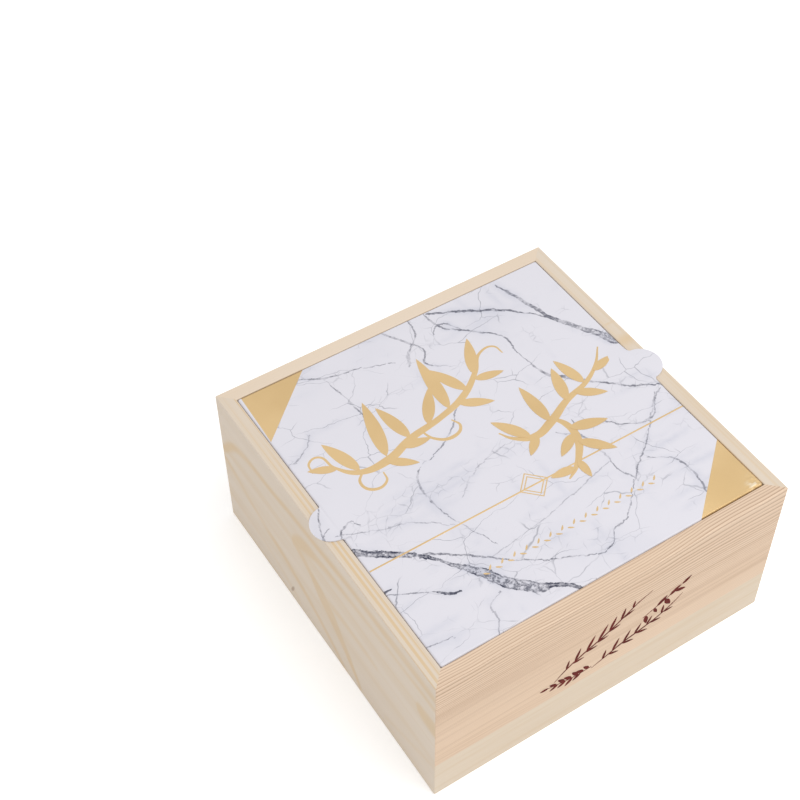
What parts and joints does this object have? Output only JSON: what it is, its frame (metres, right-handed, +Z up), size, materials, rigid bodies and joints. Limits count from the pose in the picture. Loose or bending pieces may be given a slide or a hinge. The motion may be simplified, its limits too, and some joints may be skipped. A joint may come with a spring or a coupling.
{
  "type": "wooden wedding card box",
  "caption": "Square pine box with mitred corners and a lift-off marble-print paper lid that has a half-round finger tab at each side.",
  "frame": {"origin": "on the floor under the middle of the box", "axes": "+X to the right along the front wall, towards the right finger tab; +Y from the front wall to the back wall; +Z up, the way the lid lifts off"},
  "size_m": [0.256, 0.25, 0.121],
  "materials": {
    "pine_upper": "bare planed pine, warm pinkish tan, straight grain",
    "pine_lower": "bare planed pine, pale cream, nearly plain",
    "pine_side": "bare planed pine, flat-sawn arched grain",
    "pine_strip": "bare sawn pine strip",
    "plywood": "bare thin plywood",
    "greyboard": "raw grey bookbinding board",
    "marble_print": "satin printed card, white marble with blue-grey veins",
    "liner_paper": "matte uncoated paper",
    "gold_foil": "satin gold foil pressed onto the lid",
    "brown_print": "matte dark brown printed mark on bare wood"
  },
  "bodies": {
    "box": {"front_board_upper": "pine_upper", "front_board_lower": "pine_lower", "back_board_upper": "pine_upper", "back_board_lower": "pine_lower", "left_board": "pine_side", "right_board": "pine_side", "base_panel": "plywood", "ledge_front": "pine_strip", "ledge_back": "pine_strip", "ledge_left": "pine_strip", "ledge_right": "pine_strip"},
    "lid": {"lid_core": "greyboard", "lid_cover": "marble_print", "lid_liner": "liner_paper"}
  },
  "joints": [
    {"name": "lid_lift", "type": "slide", "parent": "box", "child": "lid", "axis": [0, 0, 1], "range_m": [0, 0.14]}
  ]
}
